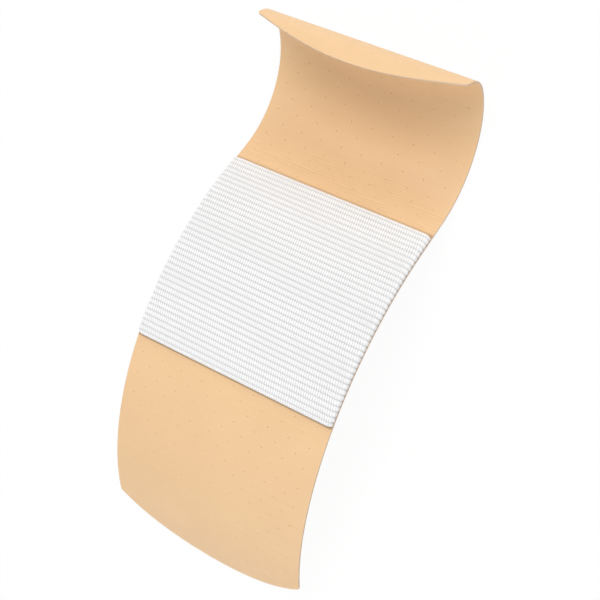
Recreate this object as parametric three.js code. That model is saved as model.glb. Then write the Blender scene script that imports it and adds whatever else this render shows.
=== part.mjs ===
// An adhesive bandage: a perforated plastic strip with a knit-faced pad bonded across its middle.
// It lies pad side up. The strip arches under the pad, runs down into a trough and curls up at its far end.
// Millimetres. X runs across the strip, Y along it towards the curled end, Z up from the surface it lies on.
import * as THREE from "three";

// Plastic strip
const stripWidth = 25.4;
const filmThickness = 0.25; // film and its adhesive coat
const lowerEndBow = 4.7; // how far the middle of the end stands past its corners
const upperEndBow = 2.4;
const cornerRadius = 0.6;
const endArcSteps = 24;
const cornerSteps = 4;

// Bends of the strip, in order along its adhesive face from the lower end
const archRadius = 31.7;
const archLength = 47.4;
const flankLength = 4.9; // straight run down from the arch
const troughRadius = 9.6;
const troughLength = 16;
const curlRadius = 4;
const curlLength = 6.9;

// Perforations, in rows that are shifted a quarter of the pitch left and right in turn
const perforationDiameter = 0.3;
const perforationPitch = 2.63;
const perforationOffset = -0.19; // of the whole pattern, because strips are cut from it without lining them up
const perforationEdgeMargin = 0.85; // least distance from a hole's middle to the strip's edge
const perforationSides = 5;
const firstRow = 0.81; // from the middle of the lower end
const rowPitch = 1.218;
const stretchStart = 54.5; // from here on the film is drawn out lengthways
const stretchedRowPitch = 1.55;
const rowBandLength = 0.6; // flat band of film that holds one row

// Pad
const padStart = 27.1; // along the strip, from the middle of the lower end
const padLength = 22.9;
const padThickness = 0.75;
const padSideInset = 0.1;
const padCornerRadius = 0.5;
const padShoulder = 0.22; // rounding of the pad's top edges
const padBondLine = 0.02; // clearance that the adhesive fills under the pad
const ribPitch = 0.61;
const ribDepth = 0.14;
const ribEndScallop = 0.07; // how far the ribs' ends stand past the grooves between them
const ribSteps = 4;

const bends = [
  { length: archLength, curvature: -1 / archRadius },
  { length: flankLength, curvature: 0 },
  { length: troughLength, curvature: 1 / troughRadius },
  { length: curlLength, curvature: 1 / curlRadius },
];
const stripLength = archLength + flankLength + troughLength + curlLength;

// Where the adhesive face is at a distance along the strip, with the direction that it heads in.
function follow(distance, startHeading) {
  const place = { y: 0, z: 0, heading: startHeading };
  let left = distance;
  for (const { length, curvature } of bends) {
    const run = Math.min(left, length);
    const turned = place.heading + curvature * run;
    if (curvature === 0) {
      place.y += run * Math.cos(turned);
      place.z += run * Math.sin(turned);
    } else {
      place.y += (Math.sin(turned) - Math.sin(place.heading)) / curvature;
      place.z -= (Math.cos(turned) - Math.cos(place.heading)) / curvature;
    }
    place.heading = turned;
    left -= run;
  }
  return place;
}

// The point a given height above the adhesive face, square to it.
function lift({ y, z, heading }, height) {
  return { y: y - height * Math.sin(heading), z: z + height * Math.cos(heading) };
}

// The strip rests on the middle of its lower end and on the back of the trough.
function restingHeading() {
  const end = lift(follow(0, 0), -filmThickness);
  const troughCentre = lift(follow(archLength + flankLength, 0), troughRadius);
  const along = troughCentre.y - end.y;
  const above = troughCentre.z - end.z;
  const slope = Math.asin((troughRadius + filmThickness) / Math.hypot(along, above));
  return slope - Math.atan2(above, along);
}

const startHeading = restingHeading();

function surfacePoint(x, distance, height) {
  const { y, z } = lift(follow(distance, startHeading), height);
  return new THREE.Vector3(x, y, z);
}

// Outline of one end, as half widths at distances from the end's middle: a bowed arc and a rounded corner.
function bowRadius(bow) {
  return (stripWidth ** 2 / 4 + bow ** 2) / (2 * bow);
}

function endOutline(bow) {
  const radius = bowRadius(bow);
  const cornerX = stripWidth / 2 - cornerRadius;
  const cornerDistance = radius - Math.sqrt((radius - cornerRadius) ** 2 - cornerX ** 2);
  const arcEnd = Math.asin(cornerX / (radius - cornerRadius));
  const outline = [];
  for (let step = 0; step <= endArcSteps; step++) {
    const angle = (arcEnd * step) / endArcSteps;
    outline.push({ half: radius * Math.sin(angle), distance: radius * (1 - Math.cos(angle)) });
  }
  for (let step = 1; step <= cornerSteps; step++) {
    const angle = arcEnd + ((Math.PI / 2 - arcEnd) * step) / cornerSteps;
    outline.push({
      half: cornerX + cornerRadius * Math.sin(angle),
      distance: cornerDistance - cornerRadius * Math.cos(angle),
    });
  }
  return outline;
}

const lowerOutline = endOutline(lowerEndBow);
const upperOutline = endOutline(upperEndBow)
  .map(({ half, distance }) => ({ half, distance: stripLength - distance }))
  .reverse();
const sideOutline = [...lowerOutline, ...upperOutline];

function halfWidth(distance) {
  const next = sideOutline.findIndex((point) => point.distance >= distance);
  if (next <= 0) return 0;
  const from = sideOutline[next - 1];
  const to = sideOutline[next];
  const share = (distance - from.distance) / (to.distance - from.distance);
  return from.half + share * (to.half - from.half);
}

// Collects triangles and closes them into one named mesh.
class Skin {
  points = [];

  triangle(a, b, c) {
    this.points.push(a, b, c);
  }

  quad(a, b, c, d) {
    this.triangle(a, b, c);
    this.triangle(a, c, d);
  }

  mesh(name, material) {
    const geometry = new THREE.BufferGeometry().setFromPoints(this.points);
    geometry.computeVertexNormals();
    const mesh = new THREE.Mesh(geometry, material);
    mesh.name = name;
    return mesh;
  }
}

// Distances of the rows along the strip.
function perforationRows() {
  const rows = [];
  let row = firstRow;
  while (row < stripLength - rowBandLength / 2) {
    rows.push(row);
    row += row + rowPitch < stretchStart ? rowPitch : stretchedRowPitch;
  }
  return rows;
}

function clearOfEnd(x, distanceFromEnd, bow) {
  const radius = bowRadius(bow);
  return distanceFromEnd > radius || Math.hypot(x, radius - distanceFromEnd) < radius - perforationEdgeMargin;
}

function clearOfPad(distance) {
  const reach = padLength / 2 + perforationDiameter;
  return Math.abs(distance - padStart - padLength / 2) > reach;
}

function perforationsOf(distance, row) {
  const shift = perforationOffset + (row % 2 === 0 ? -1 : 1) * (perforationPitch / 4);
  const reach = Math.ceil(stripWidth / 2 / perforationPitch);
  const holes = [];
  for (let column = -reach; column <= reach; column++) {
    const x = column * perforationPitch + shift;
    const inStrip =
      Math.abs(x) < stripWidth / 2 - perforationEdgeMargin &&
      clearOfEnd(x, distance, lowerEndBow) &&
      clearOfEnd(x, stripLength - distance, upperEndBow);
    if (inStrip && clearOfPad(distance)) holes.push(perforationAt(x, distance));
  }
  return holes;
}

function perforationAt(x, distance) {
  const ring = [];
  for (let side = 0; side < perforationSides; side++) {
    const angle = (2 * Math.PI * side) / perforationSides;
    const radius = perforationDiameter / 2;
    ring.push(new THREE.Vector2(x + radius * Math.cos(angle), distance + radius * Math.sin(angle)));
  }
  return ring;
}

// The right-hand edge of a band, from its start to its end.
function bandEdge(from, to) {
  const between = sideOutline.filter(({ distance }) => distance > from && distance < to);
  return [
    new THREE.Vector2(halfWidth(from), from),
    ...between.map(({ half, distance }) => new THREE.Vector2(half, distance)),
    new THREE.Vector2(halfWidth(to), to),
  ];
}

function addBand(skin, from, to, holes) {
  const place = ({ x, y }, height) => {
    const start = surfacePoint(x, from, height);
    return start.lerp(surfacePoint(x, to, height), (y - from) / (to - from));
  };
  const wall = (a, b) => {
    skin.quad(place(a, -filmThickness), place(b, -filmThickness), place(b, 0), place(a, 0));
  };
  const right = bandEdge(from, to);
  const left = right.map(({ x, y }) => new THREE.Vector2(-x, y)).reverse();
  const contour = [...right, ...left].filter(
    (point, index, all) => point.distanceTo(all[(index + 1) % all.length]) > 1e-9,
  );
  const corners = [contour, ...holes].flat();
  for (const face of THREE.ShapeUtils.triangulateShape(contour, holes)) {
    const [a, b, c] = face.map((index) => corners[index]);
    const turnsLeft = b.clone().sub(a).cross(c.clone().sub(a)) > 0;
    const [second, third] = turnsLeft ? [b, c] : [c, b];
    skin.triangle(place(a, 0), place(second, 0), place(third, 0));
    skin.triangle(place(a, -filmThickness), place(third, -filmThickness), place(second, -filmThickness));
  }
  for (const edge of [right, left]) {
    edge.slice(1).forEach((point, index) => wall(edge[index], point));
  }
  for (const ring of holes) {
    ring.forEach((point, index) => wall(ring[(index + 1) % ring.length], point));
  }
}

// The strip is a chain of flat bands. Every second one holds a row of perforations.
function backingStrip() {
  const film = new THREE.MeshStandardMaterial({ color: 0xf1c99c, roughness: 0.55, metalness: 0 });
  const skin = new Skin();
  let end = 0;
  perforationRows().forEach((distance, row) => {
    const start = distance - rowBandLength / 2;
    addBand(skin, end, start, []);
    end = start + rowBandLength;
    addBand(skin, start, end, perforationsOf(distance, row));
  });
  addBand(skin, end, stripLength, []);
  return skin.mesh("backing_strip", film);
}

// A section across the pad at a distance along the strip. Ribs run across it and end in small scallops.
const ribCount = Math.round(padLength / ribPitch);

function padSection(step) {
  const share = step / (ribCount * ribSteps);
  const fromEnd = Math.min(share, 1 - share) * padLength;
  const swell = Math.abs(Math.sin((Math.PI * step) / ribSteps));
  const groove = 1 - swell;
  const corner = Math.max(0, padCornerRadius - fromEnd);
  const cornerCut = padCornerRadius - Math.sqrt(padCornerRadius ** 2 - corner ** 2);
  const half = stripWidth / 2 - padSideInset - cornerCut - groove * ribEndScallop;
  const roll = Math.max(0, padShoulder - fromEnd);
  const rollDrop = padShoulder - Math.sqrt(padShoulder ** 2 - roll ** 2);
  const top = padThickness - groove * ribDepth - rollDrop;
  const shoulder = padShoulder;
  const distance = padStart + share * padLength;
  return [
    [-half, padBondLine],
    [half, padBondLine],
    [half, top - shoulder],
    [half - shoulder, top],
    [shoulder - half, top],
    [-half, top - shoulder],
  ].map(([x, height]) => surfacePoint(x, distance, height));
}

function absorbentPad() {
  const knit = new THREE.MeshStandardMaterial({ color: 0xf7f7f6, roughness: 0.9, metalness: 0 });
  const skin = new Skin();
  const sections = [];
  for (let step = 0; step <= ribCount * ribSteps; step++) sections.push(padSection(step));
  const first = sections[0];
  const last = sections[sections.length - 1];
  sections.slice(1).forEach((section, index) => {
    const before = sections[index];
    section.forEach((point, corner) => {
      const next = (corner + 1) % section.length;
      skin.quad(before[corner], point, section[next], before[next]);
    });
  });
  for (let corner = 1; corner < first.length - 1; corner++) {
    skin.triangle(first[0], first[corner], first[corner + 1]);
    skin.triangle(last[0], last[corner + 1], last[corner]);
  }
  return skin.mesh("absorbent_pad", knit);
}

// The origin is in the middle of the strip's footprint, on the surface that it lies on.
const bandage = new THREE.Group();
bandage.name = "adhesive_bandage";
bandage.add(backingStrip(), absorbentPad());
const extent = new THREE.Box3().setFromObject(bandage);
const middle = extent.getCenter(new THREE.Vector3());
for (const piece of bandage.children) piece.position.set(-middle.x, -middle.y, -extent.min.z);

export default bandage;
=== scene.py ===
import math

import bmesh
import bpy
from mathutils import Matrix, Vector
from mathutils.geometry import tessellate_polygon


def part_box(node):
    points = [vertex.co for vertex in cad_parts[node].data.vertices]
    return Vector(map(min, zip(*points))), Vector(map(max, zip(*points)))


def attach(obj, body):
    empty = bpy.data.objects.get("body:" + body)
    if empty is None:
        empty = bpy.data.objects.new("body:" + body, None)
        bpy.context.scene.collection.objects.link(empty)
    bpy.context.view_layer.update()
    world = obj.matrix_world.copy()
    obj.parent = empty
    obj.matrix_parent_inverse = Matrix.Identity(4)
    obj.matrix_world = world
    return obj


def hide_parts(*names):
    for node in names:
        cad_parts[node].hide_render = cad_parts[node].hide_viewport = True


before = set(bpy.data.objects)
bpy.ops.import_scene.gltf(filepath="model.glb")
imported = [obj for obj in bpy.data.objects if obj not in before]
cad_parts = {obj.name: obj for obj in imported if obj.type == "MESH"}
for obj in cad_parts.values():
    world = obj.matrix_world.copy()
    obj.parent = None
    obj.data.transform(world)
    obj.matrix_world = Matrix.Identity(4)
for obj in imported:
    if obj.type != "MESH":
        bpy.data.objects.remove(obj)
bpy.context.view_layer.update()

mm = 0.001
touching = 1e-6  # millimetres: nearer points are one
sliver = 1e-12  # square millimetres: smaller triangles are left out

# the strip as it was cut, in millimetres
strip = dict(
    width=25.4,
    thickness=0.25,
    lowerBow=4.7,
    upperBow=2.4,
    cornerRadius=0.6,
    edgeRound=0.05,
    sharpAngle=40,
)

# the bends along it, from the lower end: length, and bend per millimetre
bends = [
    (47.4, -1 / 31.7),
    (4.9, 0.0),
    (16.0, 1 / 9.6),
    (6.9, 1 / 4.0),
]
stripLength = sum(length for length, bend in bends)

# pin holes, in rows that are shifted a quarter of the pitch left and right in turn
holes = dict(
    diameter=0.09,
    mouth=0.24,  # the shallow dimple round each hole
    dimpleDepth=0.035,
    flatRing=0.34,  # flat film round the dimple
    ringMargin=0.02,  # and the rest of its row's band
    pitch=2.63,
    offset=-0.19,
    edgeMargin=0.85,  # no hole is nearer to the cut edge,
    padMargin=0.3,  # nor its row to the pad
    lastMargin=0.3,  # or to the curled end
    firstRow=0.81,
    rowPitch=1.218,
    stretchStart=54.5,  # from here on the film is drawn out lengthways
    stretchedPitch=1.55,
    sides=12,
    dimpleSteps=(0.35, 0.7, 1.0),  # where the dimple's rings lie, as shares of its curve
)

pad = dict(
    start=26.99,  # its rolled rim bulges a tenth of a millimetre past the CAD pad at this end
    length=23.01,
    thickness=0.75,
    overhang=0.025,  # how far its rolled rim bulges over the strip's sides
    cornerRadius=0.5,
    ribPitch=0.61,
    ribDepth=0.1,
    ribSharpness=0.36,  # the lower, the narrower the grooves between the ribs
    ribEndScallop=0.07,
    loopPitch=0.278,
    loopDepth=0.1,
    loopSlant=0.3,  # how far a loop leans, as a share of the loop pitch
    wander=((0.10, 0.9, 0.35), (0.07, 2.3, -0.8)),  # how far the loops stray, in waves by row and by x
    grooveShade=0.56,  # painted shade: how dark the grooves are, as a share of the gap's painted shade
    gapShare=0.42,  # how much of a loop's pitch is the dark gap beside it
    openPitch=6.4,  # the knit lies more open and more closed by turns along the pad
    openSlant=0.02,  # and those bands run a little aslant
    openWave=(0.7, 0.45),  # and wavy
    closedShare=0.45,  # how far the gaps close up between
    closedShade=0.28,  # painted shade: how dark the closed knit is all over, as a share of the gap's tone
    rim=0.62,  # how wide the rolled rim is
    rimHeight=0.12,  # the pad's height at its very edge
    tuck=0.14,  # how far the bonded face stays back under the rim
    bondHeight=0.004,  # the bonded face's height over the film
    sharpAngle=70,
)


def follow(distance, heading):
    y = 0.0
    z = 0.0
    left = distance
    for index, (length, bend) in enumerate(bends):
        run = left if index == len(bends) - 1 else min(left, length)
        turned = heading + bend * run
        if bend == 0:
            y += run * math.cos(turned)
            z += run * math.sin(turned)
        else:
            y += (math.sin(turned) - math.sin(heading)) / bend
            z -= (math.cos(turned) - math.cos(heading)) / bend
        heading = turned
        left -= run
        if left <= 0 and index < len(bends) - 1:
            break
    return y, z, heading


def lift(place, height):
    y, z, heading = place
    return y - height * math.sin(heading), z + height * math.cos(heading)


def restingHeading():
    thickness = strip["thickness"]
    endY, endZ = lift(follow(0, 0), -thickness)
    troughRadius = 1 / bends[2][1]
    midY, midZ = lift(follow(bends[0][0] + bends[1][0], 0), troughRadius)
    along = midY - endY
    above = midZ - endZ
    slope = math.asin((troughRadius + thickness) / math.hypot(along, above))
    return slope - math.atan2(above, along)


startHeading = restingHeading()
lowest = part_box("backing_strip")[0]

# the frame has its origin in the middle of the footprint: find where the lower end's middle is in it
sampleCount = 4000
samples = []
for height in (-strip["thickness"], 0):
    for i in range(sampleCount + 1):
        samples.append(lift(follow(stripLength * i / sampleCount, startHeading), height))
originY = (lowest.y / mm) - min(y for y, z in samples)
originZ = -min(z for y, z in samples)


def surface(x, distance, height):
    y, z = lift(follow(distance, startHeading), height)
    return Vector((x, y + originY, z + originZ)) * mm


bowSteps = 48  # points along half of each bowed end
cornerSteps = 8  # and round its corner


def bowRadius(bow):
    return (strip["width"] ** 2 / 4 + bow ** 2) / (2 * bow)


def endOutline(bow, inset):
    # half of one end as (x, distance from the end's middle), drawn in from the cut edge by inset
    radius = bowRadius(bow)
    corner = strip["cornerRadius"]
    cornerX = strip["width"] / 2 - corner
    cornerDistance = radius - math.sqrt((radius - corner) ** 2 - cornerX ** 2)
    arcEnd = math.asin(cornerX / (radius - corner))
    points = []
    for step in range(bowSteps + 1):
        angle = arcEnd * step / bowSteps
        points.append(((radius - inset) * math.sin(angle), radius - (radius - inset) * math.cos(angle)))
    for step in range(1, cornerSteps + 1):
        angle = arcEnd + (math.pi / 2 - arcEnd) * step / cornerSteps
        points.append((
            cornerX + (corner - inset) * math.sin(angle),
            cornerDistance - (corner - inset) * math.cos(angle),
        ))
    return points


def sideOutline(inset):
    lower = endOutline(strip["lowerBow"], inset)
    upper = [(x, stripLength - d) for x, d in reversed(endOutline(strip["upperBow"], inset))]
    return lower + upper


innerSide = sideOutline(strip["edgeRound"])
firstInner = innerSide[0][1]
lastInner = innerSide[-1][1]


def holeRows():
    rows = []
    row = holes["firstRow"]
    while row < stripLength - holes["lastMargin"]:
        rows.append(row)
        evenly = row + holes["rowPitch"] < holes["stretchStart"]
        row += holes["rowPitch"] if evenly else holes["stretchedPitch"]
    return rows


def holeCentres(row, distance):
    places = []
    shift = holes["offset"] + (-1 if row % 2 == 0 else 1) * holes["pitch"] / 4
    reach = math.ceil(strip["width"] / 2 / holes["pitch"])
    if abs(distance - pad["start"] - pad["length"] / 2) <= pad["length"] / 2 + holes["padMargin"]:
        return places
    for column in range(-reach, reach + 1):
        x = column * holes["pitch"] + shift
        inside = abs(x) < strip["width"] / 2 - holes["edgeMargin"]
        for bow, fromEnd in ((strip["lowerBow"], distance), (strip["upperBow"], stripLength - distance)):
            radius = bowRadius(bow)
            if fromEnd <= radius and math.hypot(x, radius - fromEnd) >= radius - holes["edgeMargin"]:
                inside = False
        if inside:
            places.append((x, distance))
    return places


def bands():
    # the sheet cut across into narrow bands, so that it bends smoothly: start, end and the holes in each
    half = holes["flatRing"] / 2 + holes["ringMargin"]
    plainSteps = 3  # bands between one row of holes and the next
    pieces = []
    end = firstInner
    for row, distance in enumerate(holeRows()):
        places = holeCentres(row, distance)
        start = distance - half
        if start > end:
            for step in range(plainSteps):
                first = end + (start - end) * step / plainSteps
                pieces.append((first, end + (start - end) * (step + 1) / plainSteps, []))
            end = start
        after = distance + half
        if places:
            pieces.append((end, after, places))
        else:
            pieces.append((end, (end + after) / 2, []))
            pieces.append(((end + after) / 2, after, []))
        end = after
    pieces.append((end, lastInner, []))
    return pieces


print("stage: sheet laid out,", len(holeRows()), "rows of pin holes")


def makeStrip():
    mesh = bpy.data.meshes.new("backingStrip")
    bm = bmesh.new()
    shadedEdgeMark = bm.verts.layers.float.new("shadedCutEdge")
    thickness = strip["thickness"]
    digits = 5  # points that agree to so many decimals of a millimetre are one
    cache = {}
    flatPlace = {}
    shadedCutEdge = set()

    def vertex(x, distance, height):
        key = tuple(round(value, digits) for value in (x, distance, height))
        if key not in cache:
            cache[key] = bm.verts.new(surface(x, distance, height))
            flatPlace[cache[key]] = (x * mm, distance * mm)
        return cache[key]

    def face(*corners):
        unique = []
        for corner in corners:
            if corner not in unique:
                unique.append(corner)
        if len(unique) >= 3:
            try:
                bm.faces.new(unique)
            except ValueError:
                pass  # the face is there already

    def circle(place, radius):
        turns = [2 * math.pi * k / holes["sides"] for k in range(holes["sides"])]
        return [(place[0] + radius * math.cos(t), place[1] + radius * math.sin(t)) for t in turns]

    # every cut also divides the edge, so that flat faces and edge share their points
    cutList = bands()
    lines = [start for start, end, places in cutList[1:]]
    side = [innerSide[0]]
    for (x0, d0), (x1, d1) in zip(innerSide, innerSide[1:]):
        for cut in lines:
            if d0 + touching < cut < d1 - touching:
                share = (cut - d0) / (d1 - d0)
                side.append((x0 + share * (x1 - x0), cut))
        side.append((x1, d1))

    for start, end, places in cutList:
        right = [(x, d) for x, d in side if start - touching <= d <= end + touching]
        left = [(-x, d) for x, d in reversed(right)]
        contour = []
        for point in right + left:
            if not contour or math.dist(contour[-1], point) > touching:
                contour.append(point)
        if math.dist(contour[0], contour[-1]) <= touching:
            contour.pop()
        for height in (0.0, -thickness):
            loops = [contour] + [circle(place, holes["flatRing"] / 2) for place in places]
            flat = [point for loop in loops for point in loop]
            for triangle in tessellate_polygon([[Vector((x, d, 0)) for x, d in loop] for loop in loops]):
                a, b, c = [flat[i] for i in triangle]
                area = (b[0] - a[0]) * (c[1] - a[1]) - (b[1] - a[1]) * (c[0] - a[0])
                if abs(area) < sliver:
                    continue
                if (area > 0) != (height == 0):
                    b, c = c, b
                face(vertex(*a, height), vertex(*b, height), vertex(*c, height))
        # from the flat ring over the dimple's lip, down the barrel and out to the flat ring on the back
        steps = [(holes["flatRing"] / 2, 0.0), (holes["mouth"] / 2, 0.0)]
        spread = (holes["mouth"] - holes["diameter"]) / 2
        for share in holes["dimpleSteps"]:
            turn = share * math.pi / 2
            depth = holes["dimpleDepth"] * (1 - math.cos(turn))
            steps.append((holes["mouth"] / 2 - spread * math.sin(turn), -depth))
        steps += [(holes["diameter"] / 2, -thickness), (holes["flatRing"] / 2, -thickness)]
        for place in places:
            for (r0, h0), (r1, h1) in zip(steps, steps[1:]):
                upper = circle(place, r0)
                lower = circle(place, r1)
                for k in range(holes["sides"]):
                    after = (k + 1) % holes["sides"]
                    face(
                        vertex(*upper[k], h0),
                        vertex(*lower[k], h1),
                        vertex(*lower[after], h1),
                        vertex(*upper[after], h0),
                    )

    # the cut edge, rounded over from the top face to the back
    edge = strip["edgeRound"]
    roundSteps = 4
    around = []
    turns = [math.pi / 2 * k / roundSteps for k in range(roundSteps + 1)]
    for turn in turns:
        around.append((edge * math.sin(turn), -edge * (1 - math.cos(turn))))
    for turn in turns:
        around.append((edge * math.cos(turn), -thickness + edge * (1 - math.sin(turn))))
    outer = []
    for index, (x, d) in enumerate(side):
        x0, d0 = side[max(index - 1, 0)]
        x1, d1 = side[min(index + 1, len(side) - 1)]
        length = math.hypot(x1 - x0, d1 - d0)
        outer.append(((d1 - d0) / length, -(x1 - x0) / length))
    outer[0] = (0.0, -1.0)
    outer[-1] = (0.0, 1.0)
    for sign in (1, -1):
        for index in range(len(side) - 1):
            for (out0, h0), (out1, h1) in zip(around, around[1:]):
                corners = []
                ring = ((index, out0, h0), (index + 1, out0, h0), (index + 1, out1, h1), (index, out1, h1))
                for i, out, h in ring:
                    x, d = side[i]
                    nx, nd = outer[i]
                    corners.append(vertex(sign * (x + nx * out), d + nd * out, h))
                    if out > edge / 100:
                        shadedCutEdge.add(corners[-1])
                if sign < 0:
                    corners.reverse()
                face(*corners)

    # the flat place of each point, in metres, for the pattern on the film
    flatMap = bm.loops.layers.uv.new("flat")
    for point in shadedCutEdge:
        point[shadedEdgeMark] = 1.0
    for f in bm.faces:
        f.smooth = True
        for corner in f.loops:
            corner[flatMap].uv = flatPlace[corner.vert]
    bmesh.ops.recalc_face_normals(bm, faces=bm.faces)
    bm.to_mesh(mesh)
    bm.free()
    piece = bpy.data.objects.new("backingStrip", mesh)
    bpy.context.collection.objects.link(piece)
    return piece


stripPiece = makeStrip()
stripPiece.data.set_sharp_from_angle(angle=math.radians(strip["sharpAngle"]))
print("stage: strip built,", len(stripPiece.data.polygons), "faces")


ribCount = round(pad["length"] / pad["ribPitch"])


def loopAt(x, along):
    # how far a point is up its rib, and how far up its knit loop, both from 0 to 1
    rib = along / pad["length"] * ribCount
    row = min(math.floor(rib), ribCount - 1)
    share = rib - row
    swell = abs(math.sin(math.pi * share)) ** pad["ribSharpness"]
    wander = sum(far * math.sin(byRow * row + byX * x) for far, byRow, byX in pad["wander"])
    phase = x / pad["loopPitch"] + 0.5 * (row % 2) + wander + pad["loopSlant"] * (share - 0.5)
    fromMiddle = abs((phase % 1.0) - 0.5)
    up = min(1.0, fromMiddle / (pad["gapShare"] / 2))
    return swell, up * up * (3 - 2 * up)


def padHeight(x, along, half):
    # height above the strip's face: ribs across, each a row of knit loops, rolled down at the rim
    swell, loop = loopAt(x, along)
    height = pad["thickness"] - pad["ribDepth"] * (1 - swell)
    height -= pad["loopDepth"] * (1 - loop) * swell
    fromEnd = min(along, pad["length"] - along)
    for distance in (fromEnd, half - abs(x)):
        roll = max(0.0, 1 - distance / pad["rim"])
        height -= pad["rim"] * (1 - math.sqrt(1 - min(1.0, roll) ** 2))
    return max(height, pad["rimHeight"])


def padHalf(along, share):
    # half the pad's width: its corners are rounded, and its ribs end in small scallops
    corner = pad["cornerRadius"]
    fromEnd = min(along, pad["length"] - along)
    cut = corner - math.sqrt(corner ** 2 - max(0.0, corner - fromEnd) ** 2)
    paintedGrooveShade = 1 - abs(math.sin(math.pi * share))
    return strip["width"] / 2 + pad["overhang"] - cut - pad["ribEndScallop"] * paintedGrooveShade


def makePad():
    perRib = 5  # points along each rib's section
    perLoop = 5
    alongSteps = ribCount * perRib
    acrossSteps = round(strip["width"] / pad["loopPitch"]) * perLoop
    width = acrossSteps + 1
    points = []
    faces = []
    paintedShades = []

    def place(i, j):
        along = pad["length"] * i / alongSteps
        half = padHalf(along, (i % perRib) / perRib)
        return half * (2 * j / acrossSteps - 1), along, half

    wave, waveTurn = pad["openWave"]
    for i in range(alongSteps + 1):
        for j in range(width):
            x, along, half = place(i, j)
            points.append(surface(x, pad["start"] + along, padHeight(x, along, half)))
            swell, loop = loopAt(x, along)
            fromRim = min(half - abs(x), along, pad["length"] - along)
            inside = min(1.0, fromRim / pad["rim"])
            # painted shade: the grooves between ribs and the gaps between loops are coloured darker
            paintedGrooveShade = 1 - (1 - swell) * pad["grooveShade"]
            turn = 2 * math.pi * (along / pad["openPitch"] + pad["openSlant"] * x)
            turn += wave * math.sin(waveTurn * x)
            closed = pad["closedShare"] * (0.5 + 0.5 * math.cos(turn))
            paintedGapShade = (1 - loop) * (1 - closed) + closed * pad["closedShade"]
            paintedShades.append(paintedGrooveShade * (1 - paintedGapShade * max(0.0, inside)))
    for i in range(alongSteps):
        for j in range(acrossSteps):
            a = i * width + j
            faces.append((a, a + 1, a + width + 1, a + width))
    # the rim is tucked under, down to the face that is bonded to the strip
    rim = [(0, j) for j in range(width)]
    rim += [(i, width - 1) for i in range(1, alongSteps + 1)]
    rim += [(alongSteps, j) for j in range(width - 2, -1, -1)]
    rim += [(i, 0) for i in range(alongSteps - 1, 0, -1)]
    base = len(points)
    shrinkX = 1 - pad["tuck"] / (strip["width"] / 2)
    shrinkY = 1 - pad["tuck"] / (pad["length"] / 2)
    across = {}
    for k, (i, j) in enumerate(rim):
        x, along, half = place(i, j)
        middle = pad["length"] / 2
        tucked = middle + (along - middle) * shrinkY
        points.append(surface(x * shrinkX, pad["start"] + tucked, pad["bondHeight"]))
        paintedShades.append(0.0)
        across.setdefault(i, []).append((j, base + k))
    for k, (i, j) in enumerate(rim):
        i2, j2 = rim[(k + 1) % len(rim)]
        faces.append((i * width + j, base + k, base + (k + 1) % len(rim), i2 * width + j2))
    for i in range(alongSteps):
        here = [v for j, v in sorted(across[i])]
        there = [v for j, v in sorted(across[i + 1])]
        if 0 < i < alongSteps - 1:
            faces.append((here[0], here[-1], there[-1], there[0]))
        else:
            faces.append(tuple(here + there[::-1]))
    mesh = bpy.data.meshes.new("absorbentPad")
    mesh.from_pydata([tuple(p) for p in points], [], faces)
    bm = bmesh.new()
    bm.from_mesh(mesh)
    bmesh.ops.recalc_face_normals(bm, faces=bm.faces)
    for f in bm.faces:
        f.smooth = True
    bm.to_mesh(mesh)
    bm.free()
    # painted shade: how open the thread is to the light at each point, for the colour; gaps and grooves
    # are coloured darker
    litThreadLayer = mesh.attributes.new("litThread", "FLOAT", "POINT")
    litThreadLayer.data.foreach_set("value", paintedShades)
    piece = bpy.data.objects.new("absorbentPad", mesh)
    bpy.context.collection.objects.link(piece)
    return piece


padPiece = makePad()
padPiece.data.set_sharp_from_angle(angle=math.radians(pad["sharpAngle"]))
print("stage: pad built,", len(padPiece.data.polygons), "faces")


def newMaterial(name):
    material = bpy.data.materials.new(name)
    material.use_nodes = True
    tree = material.node_tree
    shader = tree.nodes["Principled BSDF"]
    return material, tree, shader


def node(tree, kind, **settings):
    made = tree.nodes.new(kind)
    for key, value in settings.items():
        setattr(made, key, value)
    return made


def feed(tree, socket, value):
    # a socket takes a plain value or another node's output
    if isinstance(value, bpy.types.NodeSocket):
        tree.links.new(value, socket)
    else:
        socket.default_value = value


def maths(tree, operation, *values, clamp=False):
    made = node(tree, "ShaderNodeMath", operation=operation, use_clamp=clamp)
    for socket, value in zip(made.inputs, values):
        feed(tree, socket, value)
    return made.outputs["Value"]


def ramp(tree, value, start=0, end=1, low=0, high=1):
    # low up to start, high from end on, and even between
    made = node(tree, "ShaderNodeMapRange")
    inputs = {"Value": value, "From Min": start, "From Max": end, "To Min": low, "To Max": high}
    for name, given in inputs.items():
        feed(tree, made.inputs[name], given)
    return made.outputs["Result"]


def noise(tree, where, scale, detail):
    made = node(tree, "ShaderNodeTexNoise")
    made.inputs["Scale"].default_value = scale
    made.inputs["Detail"].default_value = detail
    tree.links.new(where, made.inputs["Vector"])
    return made.outputs["Fac"]


def blendColours(tree, share, first, second):
    made = node(tree, "ShaderNodeMix", data_type="RGBA")
    feed(tree, made.inputs["Factor"], share)
    feed(tree, made.inputs["A"], first)
    feed(tree, made.inputs["B"], second)
    return made.outputs["Result"]


def relief(tree, height, depth, under=None):
    # bump of so many millimetres, on top of the one under it
    made = node(tree, "ShaderNodeBump")
    made.inputs["Distance"].default_value = depth * mm
    tree.links.new(height, made.inputs["Height"])
    if under is not None:
        tree.links.new(under, made.inputs["Normal"])
    return made.outputs["Normal"]


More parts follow.
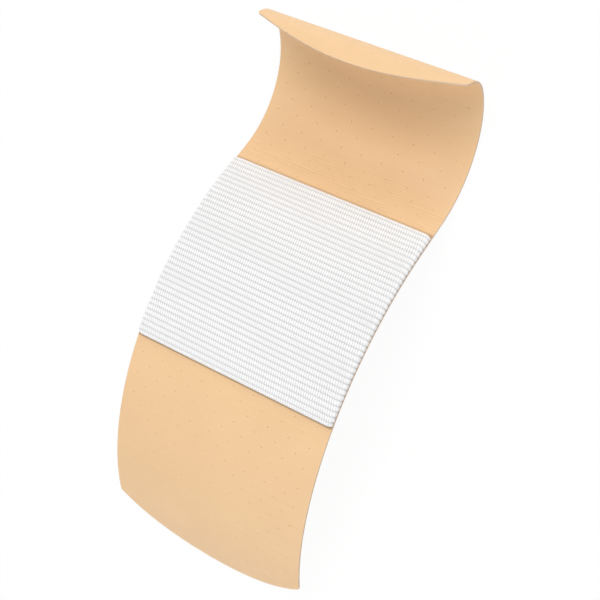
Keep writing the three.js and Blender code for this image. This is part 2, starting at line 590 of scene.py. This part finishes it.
filmLook = dict(
    light=(0.825, 0.56, 0.316, 1),
    dark=(0.765, 0.508, 0.282, 1),
    mottleScale=160,
    roughness=0.5,
    shine=0.25,
    linePitch=0.3,  # fine creases across the strip, strongest beside the pad
    lineReach=6.0,
    lineDepth=0.018,
    lineFarShare=0.03,  # how strong the creases still are at the end of their reach
    linePaintedShade=2.0,  # how much painted shade and painted highlight they put on the film
    lineBelow=0.35,  # their strength on the lower end, as a share of that by the curl
    lineBend=14,  # how far they wander
    patchScale=(150, 900, 1),  # the patches that bend and break them, long across the strip
    patchRange=(0.4, 0.62),
    contactShadow=(0.42, 0.28, 0.17, 1),  # painted contact shadow on the film along the pad's ends
    contactShadowWhole=0.05,  # the painted shadow is darkest so far from the pad's end, and gone at these
    contactShadowReachBelow=0.3,
    contactShadowReachAbove=0.5,
    shadedCutEdge=(0.70, 0.51, 0.35, 1),  # painted shade: the film's cut edge is coloured greyer and darker than its faces
    grainScale=5000,
    grainDepth=0.003,
)


def makeFilm():
    material, tree, shader = newMaterial("film")
    place = node(tree, "ShaderNodeTexCoord").outputs["Object"]
    flat = node(tree, "ShaderNodeUVMap", uv_map="flat").outputs["UV"]
    split = node(tree, "ShaderNodeSeparateXYZ")
    tree.links.new(flat, split.inputs["Vector"])
    distance = split.outputs["Y"]
    padEnd = pad["length"] / 2

    # how far a point is from the pad's middle along the flat sheet, and on which side
    fromMiddle = maths(tree, "SUBTRACT", distance, (pad["start"] + padEnd) * mm)
    away = maths(tree, "ABSOLUTE", fromMiddle)
    above = maths(tree, "GREATER_THAN", fromMiddle, 0)

    # creases along the bends, which long patches bend and break
    across = node(tree, "ShaderNodeMapping")
    across.inputs["Scale"].default_value = filmLook["patchScale"]
    tree.links.new(flat, across.inputs["Vector"])
    patches = noise(tree, across.outputs["Vector"], scale=1, detail=2)
    wave = maths(tree, "MULTIPLY", distance, 2 * math.pi / (filmLook["linePitch"] * mm))
    bent = maths(tree, "MULTIPLY_ADD", patches, filmLook["lineBend"], wave)
    crease = maths(tree, "SINE", bent)
    uneven = ramp(tree, patches, *filmLook["patchRange"])
    bySide = ramp(tree, above, low=filmLook["lineBelow"])
    patchy = maths(tree, "MULTIPLY", uneven, bySide)
    broken = maths(tree, "MULTIPLY", crease, patchy)
    lineEnd = (padEnd + filmLook["lineReach"]) * mm
    fade = ramp(tree, away, padEnd * mm, lineEnd, low=1, high=filmLook["lineFarShare"])
    lines = maths(tree, "MULTIPLY", broken, fade)

    mottle = noise(tree, place, filmLook["mottleScale"], detail=3)
    # random mottle, with painted shade in the creases' hollows and painted highlight on their crests
    mottleAndCreaseShade = maths(tree, "MULTIPLY_ADD", lines, filmLook["linePaintedShade"], mottle, clamp=True)
    colour = blendColours(tree, mottleAndCreaseShade, filmLook["dark"], filmLook["light"])
    # painted shadow: a dark line on the film just past each end of the pad
    contactShadowBelow = (padEnd + filmLook["contactShadowReachBelow"]) * mm
    contactShadowAbove = (padEnd + filmLook["contactShadowReachAbove"]) * mm
    contactShadowEnd = ramp(tree, above, low=contactShadowBelow, high=contactShadowAbove)
    contactShadowShare = ramp(tree, away, (padEnd + filmLook["contactShadowWhole"]) * mm, contactShadowEnd, low=1, high=0)
    colour = blendColours(tree, contactShadowShare, colour, filmLook["contactShadow"])
    # painted shade: the cut edge takes a greyer, darker colour
    onShadedEdge = node(tree, "ShaderNodeAttribute", attribute_name="shadedCutEdge").outputs["Fac"]
    colour = blendColours(tree, onShadedEdge, colour, filmLook["shadedCutEdge"])
    tree.links.new(colour, shader.inputs["Base Color"])

    grain = noise(tree, place, filmLook["grainScale"], detail=2)
    creased = relief(tree, lines, filmLook["lineDepth"])
    tree.links.new(relief(tree, grain, filmLook["grainDepth"], creased), shader.inputs["Normal"])
    shader.inputs["Roughness"].default_value = filmLook["roughness"]
    shader.inputs["Specular IOR Level"].default_value = filmLook["shine"]
    return material


knitLook = dict(
    litThread=(0.95, 0.95, 0.952, 1),
    # painted shade: the grey colour given to the gaps and grooves
    gapShade=(0.45, 0.45, 0.455, 1),
    fibreShare=0.12,
    fibreScale=5200,
    fibreDepth=0.01,
    roughness=0.85,
    shine=0.2,
)


def makeKnit():
    material, tree, shader = newMaterial("knit")
    place = node(tree, "ShaderNodeTexCoord").outputs["Object"]
    fibres = noise(tree, place, knitLook["fibreScale"], detail=3)
    # painted shade: the gaps between loops and ribs are coloured darker, and stray fibres break both up
    litThread = node(tree, "ShaderNodeAttribute", attribute_name="litThread").outputs["Fac"]
    loose = maths(tree, "MULTIPLY_ADD", fibres, knitLook["fibreShare"], -knitLook["fibreShare"] / 2)
    light = maths(tree, "ADD", litThread, loose, clamp=True)
    colour = blendColours(tree, light, knitLook["gapShade"], knitLook["litThread"])
    tree.links.new(colour, shader.inputs["Base Color"])
    tree.links.new(relief(tree, fibres, knitLook["fibreDepth"]), shader.inputs["Normal"])
    shader.inputs["Roughness"].default_value = knitLook["roughness"]
    shader.inputs["Specular IOR Level"].default_value = knitLook["shine"]
    return material


stripPiece.data.materials.append(makeFilm())
padPiece.data.materials.append(makeKnit())

pieces = ((stripPiece, "backing_strip", "film"), (padPiece, "absorbent_pad", "knit"))
for piece, cadNode, slotName in pieces:
    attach(piece, "root")
    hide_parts(cadNode)

print("stage: materials set")


def seenDirectly(tree, strength):
    # strength for rays from the camera, off gloss and through clear things, and 0 for the rest
    path = node(tree, "ShaderNodeLightPath")
    either = maths(tree, "MAXIMUM", path.outputs["Is Camera Ray"], path.outputs["Is Glossy Ray"])
    anyRay = maths(tree, "MAXIMUM", either, path.outputs["Is Transmission Ray"])
    return maths(tree, "MULTIPLY", anyRay, strength)


def mixShaders(tree, share, first, second, target):
    made = node(tree, "ShaderNodeMixShader")
    for socket, source in zip(made.inputs, (share, first, second)):
        tree.links.new(source, socket)
    tree.links.new(made.outputs["Shader"], target)


floorLook = dict(
    size=4,
    grey=0.9,
    roughness=0.9,
    whiteness=0.96,  # how much of it is plain white to the camera; the rest keeps the shadow
)


def makeFloor():
    mesh = bpy.data.meshes.new("floor")
    reach = floorLook["size"] / 2
    corners = [(-reach, -reach, 0), (reach, -reach, 0), (reach, reach, 0), (-reach, reach, 0)]
    mesh.from_pydata(corners, [], [(0, 1, 2, 3)])
    floor = bpy.data.objects.new("floor", mesh)
    bpy.context.collection.objects.link(floor)
    material, tree, shader = newMaterial("floor")
    grey = floorLook["grey"]
    shader.inputs["Base Color"].default_value = (grey, grey, grey, 1)
    shader.inputs["Roughness"].default_value = floorLook["roughness"]
    white = node(tree, "ShaderNodeEmission")
    white.inputs["Strength"].default_value = 1
    share = seenDirectly(tree, floorLook["whiteness"])
    target = tree.nodes["Material Output"].inputs["Surface"]
    mixShaders(tree, share, shader.outputs["BSDF"], white.outputs["Emission"], target)
    mesh.materials.append(material)
    return floor


makeFloor()

# soft lamps: height above the table and direction round it (90 is the curled end) in degrees, and power
lamps = dict(
    overhead=(64, 90, 1.42),
    curlSide=(30, 90, 0.54),
    lowerSide=(28, 270, 0.98),
    rightSide=(30, 0, 0.26),
    leftSide=(30, 180, 0.2),
)
lampDistance = 0.5
lampSize = 0.26


def makeLamps():
    for name, (rise, turn, power) in lamps.items():
        rise = math.radians(rise)
        turn = math.radians(turn)
        across = math.cos(rise)
        place = Vector((across * math.cos(turn), across * math.sin(turn), math.sin(rise))) * lampDistance
        data = bpy.data.lights.new(name, "AREA")
        data.shape = "DISK"
        data.size = lampSize
        data.energy = power
        lamp = bpy.data.objects.new(name, data)
        lamp.location = place
        lamp.rotation_euler = (-place).to_track_quat("-Z", "Y").to_euler()
        bpy.context.collection.objects.link(lamp)


makeLamps()


worldLook = dict(
    seen=1,  # plain white behind the object
    around=0.27,  # the soft light that it gives
)


def makeWorld():
    world = bpy.data.worlds.new("studio")
    bpy.context.scene.world = world
    world.use_nodes = True
    tree = world.node_tree
    tree.nodes.clear()
    out = node(tree, "ShaderNodeOutputWorld")
    light = {}
    for name, strength in worldLook.items():
        light[name] = node(tree, "ShaderNodeBackground")
        light[name].inputs["Color"].default_value = (1, 1, 1, 1)
        light[name].inputs["Strength"].default_value = strength
    share = seenDirectly(tree, 1)
    around = light["around"].outputs["Background"]
    mixShaders(tree, share, around, light["seen"].outputs["Background"], out.inputs["Surface"])


makeWorld()
print("stage: floor, lamps and world set")

# the photo's view: down on the strip from over its right side, towards the lower end
view = dict(
    place=(57.737, 26.603, 128.099),
    aim=(1.975, 2.778, 6.0),
    up=(-0.375, 0.927, 0.0),
    focal=75.76,
    sensor=36,
    clip=(0.005, 10),  # metres
)


def makeCamera():
    data = bpy.data.cameras.new("camera")
    data.lens = view["focal"]
    data.sensor_width = view["sensor"]
    camera = bpy.data.objects.new("camera", data)
    place = Vector(view["place"]) * mm
    back = (place - Vector(view["aim"]) * mm).normalized()
    right = Vector(view["up"]).cross(back).normalized()
    up = back.cross(right)
    turn = Matrix((right, up, back)).transposed().to_4x4()
    camera.matrix_world = Matrix.Translation(place) @ turn
    data.clip_start, data.clip_end = view["clip"]
    bpy.context.collection.objects.link(camera)
    bpy.context.scene.camera = camera


makeCamera()
bpy.context.scene.view_settings.view_transform = "Standard"

print("stage: scene ready")
